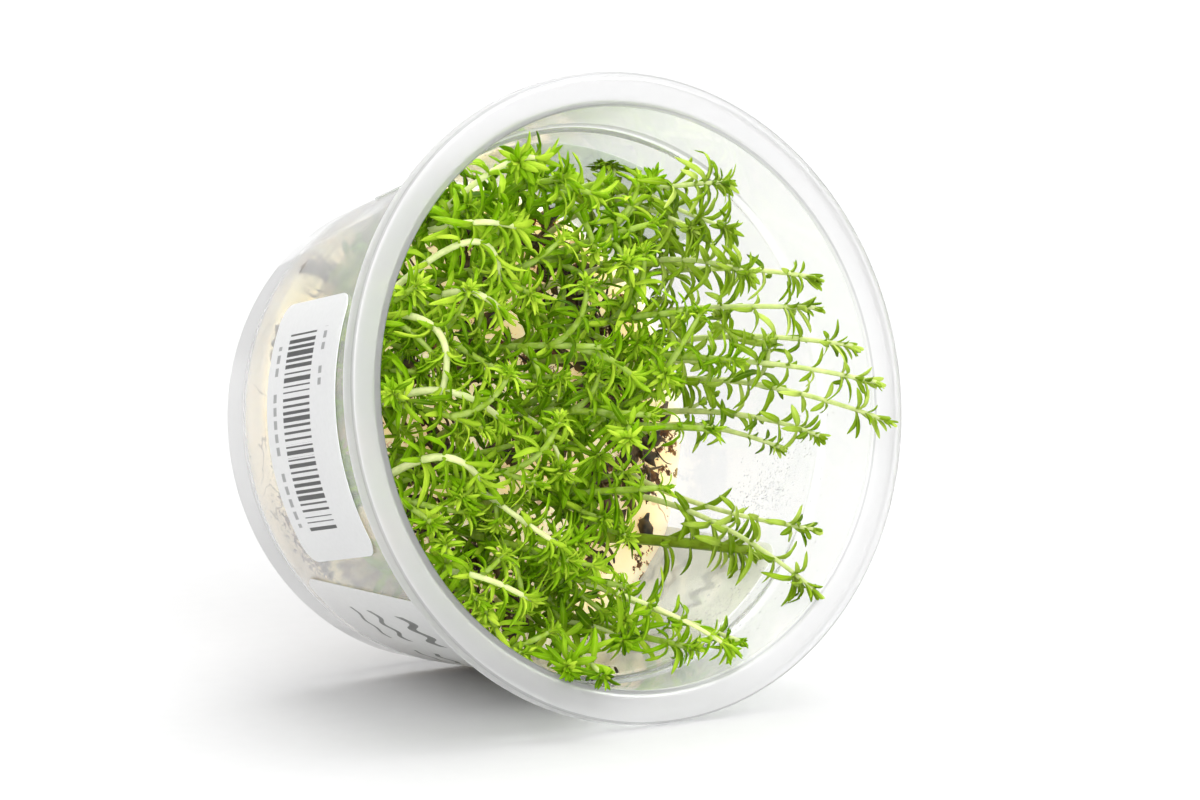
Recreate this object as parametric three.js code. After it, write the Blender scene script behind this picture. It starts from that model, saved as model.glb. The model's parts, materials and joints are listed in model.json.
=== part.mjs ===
// Tissue-cultured aquarium plants on their gel, in the open clear cup that they grew in.
// The cup lies on its side, on the lip of its rim and the edge of its foot, and its mouth faces -Y.
// Millimetres, +Z up. Pieces are laid out in the cup's own frame, where the axis is +Z, from the foot
// at 0 to the mouth at CUP_HEIGHT, X runs across and Y is the side that faces up when the cup lies down.
import * as THREE from "three";

// The cup
const CUP_HEIGHT = 60;
const RIM_RADIUS = 49;
const MOUTH_RADIUS = 43.9;
const BASE_RADIUS = 36;
const WALL = 0.7;
const CUP_FACETS = 40;

// The step inside the wall that a lid would stop at, and the flange round the mouth
const STEP_HEIGHT = 47.8;
const RADIUS_BELOW_STEP = 41.3;
const RADIUS_ABOVE_STEP = 42.2;
const STEP_RISE = 0.8;
const FLANGE_THICKNESS = 1;
const SKIRT_DEPTH = 2.6;
const SKIRT_THICKNESS = 0.8;
const LIP_ROUND = 0.6;
const MOUTH_ROUND = 0.4;

// The floor of the cup is raised inside a foot ring
const FLOOR_UNDERSIDE = 5;
const FLOOR_THICKNESS = 0.8;
const FOOT_WIDTH = 1;
const FOOT_ROUND = 0.9;
const FOOT_DRAFT = 1;
const INNER_CORNER = 1.2;

// The gel, which has slumped: its surface climbs towards the low side, -Y
const GAP = 0.3;
const GEL_TOP = 15.2;
const GEL_CLIMB = 0.07;

// Label skins on the outside of the wall: middle angle in degrees, length round the wall, and their
// lowest and highest edge along the cup's axis
const LABEL_THICKNESS = 0.25;
const LABEL_CORNER = 3;
const LABEL_COLUMN = 6;
const LABELS = [
  { name: "label_bars", middle: 178.5, length: 41, low: 16.7, high: 42.4 },
  { name: "label_name", middle: 271.5, length: 75, low: 9.5, high: 44.5 },
  { name: "label_top", middle: 73, length: 50, low: 13, high: 39 },
];

// Stems and their leaves
const STEM_RADIUS_LOW = 0.95;
const STEM_RADIUS_HIGH = 0.6;
const LEAF_LENGTH = 8;
const LEAF_HALF_WIDTH = 0.95;
const LEAF_THICKNESS = 0.45;
const WHORL_SPACING = 9;
const BARE_LENGTH = 9;
const NODE_HALF_LENGTH = 0.45;
const CLEARANCE = 0.35;
const SIDES = 4;

// Each stem's route: where it leaves the gel [x, y], a point halfway [x, y, z] and its tip [x, y, z].
const STEM_ROUTES = [
  // along the right wall, as seen from the mouth
  [[17, 27], [16.5, 31, 36], [24, 31, 55]],
  [[14, 19], [20, 21, 38], [25, 17, 57]],
  [[21, 18], [27, 19, 38], [36, 15, 59]],
  [[24, 12.5], [26, 13, 37], [36, 10.5, 58]],
  [[28, 8], [31.5, 8, 40], [40, 4, 61]],
  [[22, 5], [28, 4.5, 42], [40, -2, 66]],
  [[28.5, 2], [32, 1, 40], [40.5, -8, 67]],
  [[25, -2], [30, -3.5, 38], [34, -9, 58]],
  [[29, -5], [28, -5, 34], [32, -10, 50]],
  [[26, -11], [27, -17.5, 35], [31.5, -23, 57]],
  [[20, -13], [25, -19.5, 38], [28, -32, 60]],
  [[17, -20], [22, -22, 29], [29, -25, 42]],
  [[9, -24], [12, -30.5, 34], [16, -38.5, 57]],
  [[-2, -28], [-6, -33, 38], [-14, -40.5, 64]],
  // upper left
  [[-22, 24], [-25, 27, 36], [-21, 31, 54]],
  [[-12, 29], [-12, 32, 36], [-5, 34, 56]],
  [[4, 28], [1, 31, 34], [6, 33, 50]],
  [[-30, 13], [-35, 15, 38], [-33, 20, 56]],
  [[-20, 14], [-24, 17, 34], [-27, 11, 53]],
  [[-10, 19], [-13, 22, 38], [-14, 17, 57]],
  [[1, 19], [3, 23, 34], [13, 26, 51]],
  // middle
  [[-32, 1], [-37, 4, 44], [-27, -2, 60]],
  [[-22, 4], [-25, 5, 30], [-36, 9, 46]],
  [[-11, 8], [-14, 10, 40], [-4, 8, 59]],
  [[2, 9], [6, 12, 34], [15, 12, 55]],
  [[12, 8], [17, 7, 33], [25, 4, 51]],
  [[-30, -11], [-36, -8, 38], [-36, -15, 57]],
  [[-20, -6], [-25, -5, 38], [-17, -11, 57]],
  [[-9, -3], [-9, 0, 38], [4, -3, 58]],
  [[4, -2], [8, -3, 34], [17, -6, 54]],
  [[14, -4], [14, -1, 34], [10, 3, 54]],
  // lower left
  [[-23, -20], [-30, -21, 38], [-29, -27, 56]],
  [[-13, -15], [-19, -17, 38], [-13, -23, 57]],
  [[-3, -13], [-3, -13, 38], [6, -14, 56]],
  [[3, -28], [4, -33, 34], [9, -38.5, 54]],
  [[-13, -27], [-19, -31, 36], [-22, -36, 55]],
  [[-4, -21], [-7, -24, 38], [-4, -28, 58]],
];

const QUARTER_TURN = Math.PI / 2;

const CUP_LOOK = { color: 0xdfe4e4, roughness: 0.2, metalness: 0, transparent: true, opacity: 0.4 };
const GEL_LOOK = { color: 0xf1dcb9, roughness: 0.35, metalness: 0 };
const LABEL_LOOK = { color: 0xf1f1f2, roughness: 0.5, metalness: 0 };
const PLANT_LOOK = { color: 0x74ab22, roughness: 0.45, metalness: 0 };

function named(name, geometry, look) {
  const mesh = new THREE.Mesh(geometry, new THREE.MeshStandardMaterial(look));
  mesh.name = name;
  return mesh;
}

// A profile in the plane of the axis, with x as the radius and y as the height, turned about the axis.
// The half-facet start puts a flat facet, not an edge, on each side that the cup can lie on.
function turned(points) {
  const halfFacet = Math.PI / CUP_FACETS;
  return new THREE.LatheGeometry(points, CUP_FACETS, halfFacet).rotateX(QUARTER_TURN);
}

function outerRadius(height) {
  const rise = (RADIUS_BELOW_STEP + WALL - BASE_RADIUS) / STEP_HEIGHT;
  return BASE_RADIUS + rise * height;
}

function innerRadius(height) {
  if (height < STEP_HEIGHT) return outerRadius(height) - WALL;
  const share = (height - STEP_HEIGHT) / (CUP_HEIGHT - STEP_HEIGHT);
  return RADIUS_ABOVE_STEP + share * (MOUTH_RADIUS - RADIUS_ABOVE_STEP);
}

function cupGeometry() {
  const floorTop = FLOOR_UNDERSIDE + FLOOR_THICKNESS;
  const flangeUnderside = CUP_HEIGHT - FLANGE_THICKNESS;
  const skirtInside = RIM_RADIUS - SKIRT_THICKNESS;
  const stepTop = STEP_HEIGHT + STEP_RISE;
  const footInside = BASE_RADIUS - FOOT_ROUND - FOOT_WIDTH;
  const cornerTop = floorTop + INNER_CORNER;
  const profile = new THREE.Path()
    .moveTo(0, FLOOR_UNDERSIDE)
    .lineTo(footInside - FOOT_DRAFT, FLOOR_UNDERSIDE)
    .lineTo(footInside, 0)
    .lineTo(BASE_RADIUS - FOOT_ROUND, 0)
    .quadraticCurveTo(BASE_RADIUS, 0, outerRadius(FOOT_ROUND), FOOT_ROUND)
    .lineTo(outerRadius(STEP_HEIGHT), STEP_HEIGHT)
    .lineTo(RADIUS_ABOVE_STEP + WALL, stepTop)
    .lineTo(MOUTH_RADIUS + WALL, flangeUnderside)
    .lineTo(skirtInside, flangeUnderside)
    .lineTo(skirtInside, CUP_HEIGHT - SKIRT_DEPTH)
    .lineTo(RIM_RADIUS, CUP_HEIGHT - SKIRT_DEPTH)
    .lineTo(RIM_RADIUS, CUP_HEIGHT - LIP_ROUND)
    .quadraticCurveTo(RIM_RADIUS, CUP_HEIGHT, RIM_RADIUS - LIP_ROUND, CUP_HEIGHT)
    .lineTo(MOUTH_RADIUS + MOUTH_ROUND, CUP_HEIGHT)
    .lineTo(MOUTH_RADIUS, CUP_HEIGHT - MOUTH_ROUND)
    .lineTo(RADIUS_ABOVE_STEP, stepTop)
    .lineTo(RADIUS_BELOW_STEP, STEP_HEIGHT)
    .lineTo(innerRadius(cornerTop), cornerTop)
    .lineTo(innerRadius(floorTop) - INNER_CORNER, floorTop)
    .lineTo(0, floorTop);
  return turned(profile.getPoints(2));
}

function gelSurface(y) {
  return GEL_TOP - GEL_CLIMB * y;
}

function gelGeometry() {
  const underside = FLOOR_UNDERSIDE + FLOOR_THICKNESS + GAP;
  const shoulder = underside + INNER_CORNER;
  const profile = new THREE.Path()
    .moveTo(0, underside)
    .lineTo(innerRadius(underside) - INNER_CORNER - GAP, underside)
    .lineTo(innerRadius(shoulder) - GAP, shoulder)
    .lineTo(innerRadius(GEL_TOP) - GAP, GEL_TOP)
    .lineTo(0, GEL_TOP);
  const gel = turned(profile.getPoints());
  const corners = gel.attributes.position;
  for (let i = 0; i < corners.count; i += 1) {
    if (corners.getZ(i) < shoulder + GAP) continue;
    const [x, y] = [corners.getX(i), corners.getY(i)];
    const height = gelSurface(y);
    const reach = (innerRadius(height) - GAP) / (innerRadius(GEL_TOP) - GAP);
    corners.setXYZ(i, x * reach, y * reach, height);
  }
  return gel;
}

// Triangles are gathered as rows of three corners, each seen anticlockwise from outside the body.
function addQuad(corners, a, b, c, d) {
  corners.push(a, b, c, a, c, d);
}

function bodyOf(corners) {
  const body = new THREE.BufferGeometry().setFromPoints(corners);
  body.computeVertexNormals();
  return body;
}

// The places of a label's columns along its length, closer together where its corners turn, each with
// how far the round corner takes its two edges in.
function labelColumns(length) {
  const corners = [0, 0.3, 1].map((share) => {
    const along = share * LABEL_CORNER;
    const reach = LABEL_CORNER - along;
    return { along, inset: LABEL_CORNER - Math.sqrt(LABEL_CORNER ** 2 - reach ** 2) };
  });
  corners[0].inset *= 0.8;
  const straight = length - 2 * LABEL_CORNER;
  const count = Math.round(straight / LABEL_COLUMN);
  const middle = [];
  for (let i = 1; i < count; i += 1) {
    middle.push({ along: LABEL_CORNER + (straight * i) / count, inset: 0 });
  }
  const farCorners = corners.map(({ along, inset }) => ({ along: length - along, inset })).reverse();
  return [...corners, ...middle, ...farCorners];
}

function labelGeometry({ middle, length, low, high }) {
  const around = (height, along, offset) => {
    const radius = outerRadius(height);
    const angle = THREE.MathUtils.degToRad(middle) + (along - length / 2) / radius;
    const reach = radius + GAP + offset;
    return new THREE.Vector3(reach * Math.cos(angle), reach * Math.sin(angle), height);
  };
  const rings = labelColumns(length).map(({ along, inset }) => [
    around(low + inset, along, 0),
    around(low + inset, along, LABEL_THICKNESS),
    around(high - inset, along, LABEL_THICKNESS),
    around(high - inset, along, 0),
  ]);
  const corners = [];
  const first = rings[0];
  const last = rings[rings.length - 1];
  addQuad(corners, first[0], first[1], first[2], first[3]);
  for (let i = 1; i < rings.length; i += 1) {
    const [here, there] = [rings[i - 1], rings[i]];
    for (let k = 0; k < 4; k += 1) {
      const next = (k + 1) % 4;
      addQuad(corners, here[k], there[k], there[next], here[next]);
    }
  }
  addQuad(corners, last[3], last[2], last[1], last[0]);
  return bodyOf(corners);
}

// A repeatable sequence of shares between 0 and 1
let randomState = 20260;
function random() {
  randomState = (randomState * 16807) % 2147483647;
  return randomState / 2147483647;
}

function spread(low, high) {
  return low + (high - low) * random();
}

// A stem bends in one smooth arc through the point halfway.
function stemCurve([[x, y], halfway, tip]) {
  const start = new THREE.Vector3(x, y, gelSurface(y) + STEM_RADIUS_LOW);
  const end = new THREE.Vector3(...tip);
  const bend = new THREE.Vector3(...halfway).multiplyScalar(2);
  bend.addScaledVector(start, -0.5).addScaledVector(end, -0.5);
  return new THREE.QuadraticBezierCurve3(start, bend, end);
}

// The stem's middle, direction and radius at a share of its length, with two directions across it.
function stationAt(curve, share) {
  const along = curve.getTangentAt(share);
  const across = new THREE.Vector3(1, 0, 0).addScaledVector(along, -along.x).normalize();
  return {
    middle: curve.getPointAt(share),
    along,
    across,
    over: new THREE.Vector3().crossVectors(along, across),
    radius: THREE.MathUtils.lerp(STEM_RADIUS_LOW, STEM_RADIUS_HIGH, share),
  };
}

function outwards(station, angle) {
  return new THREE.Vector3()
    .addScaledVector(station.across, Math.cos(angle))
    .addScaledVector(station.over, Math.sin(angle));
}

function ringAt(curve, share, turn) {
  const station = stationAt(curve, share);
  const ring = [];
  for (let k = 0; k < SIDES; k += 1) {
    const edge = outwards(station, turn + k * QUARTER_TURN);
    ring.push(station.middle.clone().addScaledVector(edge, station.radius));
  }
  return ring;
}

// A leaf leaves its stem on side k, rises with the stem and then arches back: the points that shape it
// are the middle of its blade, the two edges and the keel there, and its tip.
function leafShape(station, turn, k, length, rise, droop) {
  const out = outwards(station, turn + (k + 0.5) * QUARTER_TURN);
  const side = new THREE.Vector3().crossVectors(station.along, out);
  const heading = (angle) =>
    new THREE.Vector3()
      .addScaledVector(out, Math.cos(angle))
      .addScaledVector(station.along, Math.sin(angle));
  const root = station.middle.clone().addScaledVector(out, station.radius * Math.SQRT1_2);
  const blade = root.clone().addScaledVector(heading(rise), length * 0.5);
  const tip = blade.clone().addScaledVector(heading(-droop), length * 0.5);
  return {
    root,
    blade,
    tip,
    left: blade.clone().addScaledVector(side, -LEAF_HALF_WIDTH),
    right: blade.clone().addScaledVector(side, LEAF_HALF_WIDTH),
    keel: blade.clone().addScaledVector(heading(rise - QUARTER_TURN), LEAF_THICKNESS),
  };
}

// Room is kept with beads: balls along each stem and leaf that hold all of it.
function stemBeads(curve, owner) {
  const count = Math.ceil(curve.getLength());
  const beads = [];
  for (let i = 0; i <= count; i += 1) {
    const station = stationAt(curve, i / count);
    beads.push({ centre: station.middle, radius: station.radius + 0.1, owner });
  }
  return beads;
}

function leafBeads({ root, blade, tip }, owner) {
  const bead = (from, to, share, width) => ({
    centre: from.clone().lerp(to, share),
    radius: LEAF_HALF_WIDTH * width,
    owner,
  });
  return [
    bead(root, blade, 0.35, 0.8),
    bead(root, blade, 0.7, 1),
    bead(root, blade, 1, 1.1),
    bead(blade, tip, 0.3, 0.9),
    bead(blade, tip, 0.6, 0.7),
    bead(blade, tip, 1, 0.4),
  ];
}

function isClear(beads, others) {
  return beads.every((bead) => {
    const fromAxis = Math.hypot(bead.centre.x, bead.centre.y);
    const height = bead.centre.z;
    const inside = fromAxis + bead.radius + 2 * CLEARANCE < innerRadius(Math.min(height, CUP_HEIGHT));
    const beyondMouth = height - bead.radius - CLEARANCE > CUP_HEIGHT;
    const aboveGel = height - bead.radius - CLEARANCE > gelSurface(bead.centre.y);
    if (!aboveGel || !(inside || beyondMouth)) return false;
    return others.every((other) => {
      if (other.owner === bead.owner) return true;
      return other.centre.distanceTo(bead.centre) > other.radius + bead.radius + CLEARANCE;
    });
  });
}

// The first of a few ever shorter leaves that has room, or nothing where none has.
function fittingLeaf(station, turn, k, owner, taken, isTuft) {
  const rise = THREE.MathUtils.degToRad(isTuft ? spread(55, 70) : spread(30, 50));
  const droop = THREE.MathUtils.degToRad(isTuft ? spread(-40, -15) : spread(-5, 25));
  const fullLength = (isTuft ? 0.75 : 1) * LEAF_LENGTH * spread(0.85, 1.1);
  for (const share of [1, 0.8, 0.6]) {
    const leaf = leafShape(station, turn, k, fullLength * share, rise, droop);
    const beads = leafBeads(leaf, owner);
    if (isClear(beads, taken)) {
      taken.push(...beads);
      return leaf;
    }
  }
  return null;
}

function addLeaf(corners, lowLeft, lowRight, highRight, highLeft, { left, right, keel, tip }) {
  corners.push(lowLeft, lowRight, keel);
  addQuad(corners, lowRight, highRight, right, keel);
  addQuad(corners, highRight, highLeft, left, right);
  addQuad(corners, highLeft, lowLeft, keel, left);
  corners.push(keel, right, tip, right, left, tip, left, keel, tip);
}

// A stem with its whorls of leaves and the tuft at its tip, as one closed body. Each whorl sits on a
// short node of the stem, and a leaf grows from the node's side in place of the side's plain face.
function plantGeometry(curve, owner, taken) {
  const length = curve.getLength();
  const whorls = Math.max(2, Math.round((length - BARE_LENGTH) / WHORL_SPACING) + 1);
  const nodeShare = NODE_HALF_LENGTH / length;
  const firstTurn = spread(0, QUARTER_TURN);
  const corners = [];
  let below = ringAt(curve, 0, firstTurn);
  addQuad(corners, below[3], below[2], below[1], below[0]);
  for (let w = 0; w < whorls; w += 1) {
    const share = THREE.MathUtils.lerp(BARE_LENGTH / length, 1 - 3 * nodeShare, w / (whorls - 1));
    const turn = firstTurn + (w * QUARTER_TURN) / 2;
    const station = stationAt(curve, share);
    const low = ringAt(curve, share - nodeShare, turn);
    const high = ringAt(curve, share + nodeShare, turn);
    for (let k = 0; k < SIDES; k += 1) {
      const next = (k + 1) % SIDES;
      addQuad(corners, below[k], below[next], low[next], low[k]);
      const leaf = fittingLeaf(station, turn, k, owner, taken, w === whorls - 1);
      if (leaf) addLeaf(corners, low[k], low[next], high[next], high[k], leaf);
      else addQuad(corners, low[k], low[next], high[next], high[k]);
    }
    below = high;
  }
  const tip = curve.getPointAt(1).addScaledVector(curve.getTangentAt(1), STEM_RADIUS_HIGH);
  for (let k = 0; k < SIDES; k += 1) corners.push(below[k], below[(k + 1) % SIDES], tip);
  return bodyOf(corners);
}

function plants() {
  const curves = STEM_ROUTES.map(stemCurve);
  const taken = curves.flatMap(stemBeads);
  return curves.map((curve, i) => {
    const name = "stem_" + String(i + 1).padStart(2, "0");
    return named(name, plantGeometry(curve, i, taken), PLANT_LOOK);
  });
}

// The cup lies on a facet at the edge of its foot and one at the back edge of its skirt, so its axis
// tips up towards the mouth.
function lyingCup() {
  const facetReach = Math.cos(Math.PI / CUP_FACETS);
  const flare = (RIM_RADIUS - outerRadius(FOOT_ROUND)) * facetReach;
  const axisTilt = Math.atan2(flare, CUP_HEIGHT - SKIRT_DEPTH - FOOT_ROUND);
  const cup = new THREE.Group();
  cup.add(named("cup", cupGeometry(), CUP_LOOK));
  cup.add(named("gel", gelGeometry(), GEL_LOOK));
  LABELS.forEach((label) => cup.add(named(label.name, labelGeometry(label), LABEL_LOOK)));
  cup.add(...plants());
  cup.rotation.x = QUARTER_TURN - axisTilt;
  return cup;
}

// The origin is under the middle of everything, on the surface that the cup lies on.
const part = new THREE.Group();
const cup = lyingCup();
part.add(cup);
const extent = new THREE.Box3().setFromObject(part, true);
const middle = extent.getCenter(new THREE.Vector3());
cup.position.set(-middle.x, -middle.y, -extent.min.z);

export default part;
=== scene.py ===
import json
import math
import random

import bmesh
import bpy
from mathutils import Matrix, Vector, noise


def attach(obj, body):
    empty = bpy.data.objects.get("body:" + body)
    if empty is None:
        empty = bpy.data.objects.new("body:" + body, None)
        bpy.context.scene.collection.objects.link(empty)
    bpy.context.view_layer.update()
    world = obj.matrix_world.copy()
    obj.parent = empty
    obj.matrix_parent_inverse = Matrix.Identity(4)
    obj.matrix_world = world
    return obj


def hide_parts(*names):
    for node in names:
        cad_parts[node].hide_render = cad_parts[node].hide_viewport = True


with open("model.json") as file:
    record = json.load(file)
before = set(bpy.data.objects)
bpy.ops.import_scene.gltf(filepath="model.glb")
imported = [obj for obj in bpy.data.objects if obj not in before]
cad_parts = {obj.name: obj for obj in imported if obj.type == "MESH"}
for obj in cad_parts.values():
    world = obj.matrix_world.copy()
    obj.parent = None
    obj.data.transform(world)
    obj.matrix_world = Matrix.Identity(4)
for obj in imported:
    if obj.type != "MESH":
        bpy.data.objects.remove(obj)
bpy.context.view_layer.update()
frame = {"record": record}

# Tissue-cultured aquarium plants on their gel, in an open clear cup that lies on its side.
# Pieces are drawn in the cup's own frame, in millimetres: the axis is +Z from the foot to the mouth,
# X runs across and Y is the side that faces up. finished() then puts each one in its place.

# The cup
CUP_HEIGHT = 60
RIM_RADIUS = 49
MOUTH_RADIUS = 43.9
BASE_RADIUS = 36
WALL = 0.7
STEP_HEIGHT = 47.8
STEP_RISE = 0.8
RADIUS_BELOW_STEP = 41.3
RADIUS_ABOVE_STEP = 42.2
FLANGE_THICKNESS = 1
SKIRT_DEPTH = 2.6
SKIRT_THICKNESS = 0.8
FLOOR_UNDERSIDE = 5
FLOOR_THICKNESS = 0.8
FOOT_WIDTH = 1.4
FOOT_DRAFT = 1.2
CUP_STEPS = 160

# The gel, whose surface climbs towards the low side. It is even up to a height and lumpy above it.
GEL_TOP = 15.2
GEL_CLIMB = 0.07
GEL_GAP = 0.12
GEL_CORNER = 1.2
GEL_EVEN_HEIGHT = 8.5
GEL_SIDE_HEIGHTS = (GEL_EVEN_HEIGHT, 10, 11.5, 12.6, 13.6, 14.5)
GEL_RINGS = 26
GEL_STEPS = 120
# Its lumps: height and width of each kind, and the level of the noise that it takes
GEL_LUMPS = ((1.1, 7, 3), (0.5, 2.6, 9))
# The look of the gel counts its depth below the top in steps of this size
GEL_DEPTH_STEP = 3
# How far round a stem's foot the dark stain gathers, partly root debris and partly painted shade, and where
# on the gel's edge the crust lies
PLANTED_REACH = 8
CRUST_ANGLE = 205
CRUST_SPREAD = 22

LABEL_THICKNESS = 0.15
LABEL_CORNER = 3
LABEL_GAP = 0.08
# How wide the strips and the rows are that a label is cut into, so that it can bend
LABEL_STRIP = 1.4
LABEL_ROW = 5
# Where the labels lie: middle angle in degrees, length round the wall, lowest and highest edge
LABELS = {
    "label_bars": (178.5, 41, 16.7, 42.4),
    "label_name": (271.5, 75, 9.5, 44.5),
    "label_top": (73, 50, 13, 39),
}

# Each stem's route: where it leaves the gel, a point halfway and its tip
STEM_ROUTES = [
    # along the right wall, as seen from the mouth
    ((17, 27), (16.5, 31, 36), (24, 31, 55)),
    ((14, 19), (20, 21, 38), (25, 17, 57)),
    ((21, 18), (27, 19, 38), (36, 15, 59)),
    ((24, 12.5), (26, 13, 37), (36, 10.5, 58)),
    ((28, 8), (31.5, 8, 40), (40, 4, 61)),
    ((22, 5), (28, 4.5, 42), (40, -2, 66)),
    ((28.5, 2), (32, 1, 40), (40.5, -8, 67)),
    ((25, -2), (30, -3.5, 38), (34, -9, 58)),
    ((29, -5), (28, -5, 34), (32, -10, 50)),
    ((26, -11), (27, -17.5, 35), (31.5, -23, 57)),
    ((20, -13), (25, -19.5, 38), (28, -32, 60)),
    ((17, -20), (22, -22, 29), (29, -25, 42)),
    ((9, -24), (12, -30.5, 34), (16, -38.5, 57)),
    ((-2, -28), (-6, -33, 38), (-14, -40.5, 64)),
    # upper left
    ((-22, 24), (-25, 27, 36), (-21, 31, 54)),
    ((-12, 29), (-12, 32, 36), (-5, 34, 56)),
    ((4, 28), (1, 31, 34), (6, 33, 50)),
    ((-30, 13), (-35, 15, 38), (-33, 20, 56)),
    ((-20, 14), (-24, 17, 34), (-27, 11, 53)),
    ((-10, 19), (-13, 22, 38), (-14, 17, 57)),
    ((1, 19), (3, 23, 34), (13, 26, 51)),
    # middle
    ((-32, 1), (-37, 4, 44), (-27, -2, 60)),
    ((-22, 4), (-25, 5, 30), (-36, 9, 46)),
    ((-11, 8), (-14, 10, 40), (-4, 8, 59)),
    ((2, 9), (6, 12, 34), (15, 12, 55)),
    ((12, 8), (17, 7, 33), (25, 4, 51)),
    ((-30, -11), (-36, -8, 38), (-36, -15, 57)),
    ((-20, -6), (-25, -5, 38), (-17, -11, 57)),
    ((-9, -3), (-9, 0, 38), (4, -3, 58)),
    ((4, -2), (8, -3, 34), (17, -6, 54)),
    ((14, -4), (14, -1, 34), (10, 3, 54)),
    # lower left
    ((-23, -20), (-30, -21, 38), (-29, -27, 56)),
    ((-13, -15), (-19, -17, 38), (-13, -23, 57)),
    ((-3, -13), (-3, -13, 38), (6, -14, 56)),
    ((3, -28), (4, -33, 34), (9, -38.5, 54)),
    ((-13, -27), (-19, -31, 36), (-22, -36, 55)),
    ((-4, -21), (-7, -24, 38), (-4, -28, 58)),
]
# Where in that list the paler spray, the right wall and the part below the top wall end
LAST_SPRAY_STEM = 12
LAST_RIGHT_STEM = 14
LAST_TOP_STEM = 17

# Long pale side shoots that arch in the mouth: the stem that each leaves, the share of the stem at
# which it leaves, a point halfway, its tip and its radius
PALE_SHOOTS = [
    (15, 0.75, (-16.5, 36, 55), (-10, 37, 57.5), 0.55),
    (15, 0.6, (-23.5, 28.5, 57), (-14.8, 27, 57), 0.55),
    (18, 0.55, (-24.8, 25.5, 56.5), (-17.8, 19.7, 55), 0.6),
    (19, 0.6, (-25.8, 18.5, 56), (-18.9, 15.2, 56), 0.62),
    (18, 0.7, (-31.2, 13, 57.5), (-32, 2.8, 57), 0.62),
    (22, 0.6, (-31, 4, 57.5), (-22, -1.1, 57.5), 0.64),
    (29, 0.55, (-10.0, -3.4, 50), (-11.3, -9.7, 56), 0.38),
    (27, 0.6, (-34, -5.5, 57.5), (-26.1, -9.6, 56), 0.66),
    (28, 0.6, (-20, -16, 56), (-14.2, -20.6, 57), 0.5),
    (32, 0.65, (-29.5, -23.5, 56.5), (-20.6, -28.1, 57), 0.55),
    (37, 0.55, (1.5, -31.5, 56), (12.6, -39.2, 58.5), 0.4),
]

# Leafy side shoots that fill in between the stems: the same without a radius
LEAFY_SHOOTS = [
    (1, 0.5, (18.5, 28, 44), (20.5, 25, 50)),
    (1, 0.65, (22, 27, 48), (24.5, 24.5, 53)),
    (24, 0.5, (-12, 6, 46), (-8, 4.5, 53)),
    (29, 0.5, (-5, 2, 44), (-1.5, 3.8, 51)),
    (29, 0.6, (-1.5, 1.5, 46), (3, 3, 50)),
    (28, 0.6, (-20, -5.5, 48), (-16.5, -4.6, 53)),
    (34, 0.5, (-3, -15, 43), (-1, -17.5, 49)),
    (34, 0.45, (0, -17, 41), (3.5, -20.5, 48)),
    (34, 0.4, (-1, -12, 38), (4.5, -11, 48)),
    (30, 0.3, (3, -5.5, 36), (0.5, -8, 48)),
    (37, 0.5, (-7, -22, 42), (-7, -20.5, 51)),
    (14, 0.45, (-2, -33, 42), (-0.5, -36, 50)),
    (14, 0.7, (-15.2, -37.8, 57), (-17.6, -38.6, 60.4)),
]

rim = next(m for m in frame["record"]["mounts"] if m["name"] == "rim_face")
AXIS = Vector(rim["axis"]).normalized()
ACROSS = Vector((1, 0, 0))
UP = AXIS.cross(ACROSS)
RIM_FACE_HEIGHT = 46
FOOT = Vector(rim["pos_m"]) - (RIM_FACE_HEIGHT * UP + CUP_HEIGHT * AXIS) / 1000
# Straight down, as the cup's own frame has it
DOWN = -Vector((ACROSS.z, UP.z, AXIS.z))
CUP_TURN = Matrix((ACROSS, UP, AXIS)).transposed().to_4x4()
CUP_PLACE = Matrix.Translation(FOOT) @ CUP_TURN @ Matrix.Scale(0.001, 4)

# Edges that turn by more than this stay sharp on the cup and the labels
SHARP_ANGLE = math.radians(40)
# How far leaves and bits keep off the wall's inside and the gel
WALL_CLEARANCE = 0.35
GEL_CLEARANCE = 0.2

# Every maker of random shapes starts this again from a seed of its own
chance = random.Random(0)


# Shapes that the pieces share

def outer_radius(height):
    return BASE_RADIUS + (RADIUS_BELOW_STEP + WALL - BASE_RADIUS) * height / STEP_HEIGHT


def inner_radius(height):
    if height < STEP_HEIGHT:
        return outer_radius(height) - WALL
    share = min(1, (height - STEP_HEIGHT) / (CUP_HEIGHT - STEP_HEIGHT))
    return RADIUS_ABOVE_STEP + share * (MOUTH_RADIUS - RADIUS_ABOVE_STEP)


def gel_surface(y):
    return GEL_TOP - GEL_CLIMB * y


def finished(name, drawn, materials, node=None):
    """Makes a piece of a mesh that was drawn in the cup's frame, and puts it in its place."""
    bmesh.ops.transform(drawn, matrix=CUP_PLACE, verts=drawn.verts)
    mesh = bpy.data.meshes.new(name)
    drawn.to_mesh(mesh)
    drawn.free()
    for look in materials:
        mesh.materials.append(look)
    mesh.shade_smooth()
    piece = bpy.data.objects.new(name, mesh)
    bpy.context.scene.collection.objects.link(piece)
    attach(piece, "root")
    if node:
        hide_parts(node)
    return piece


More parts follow.
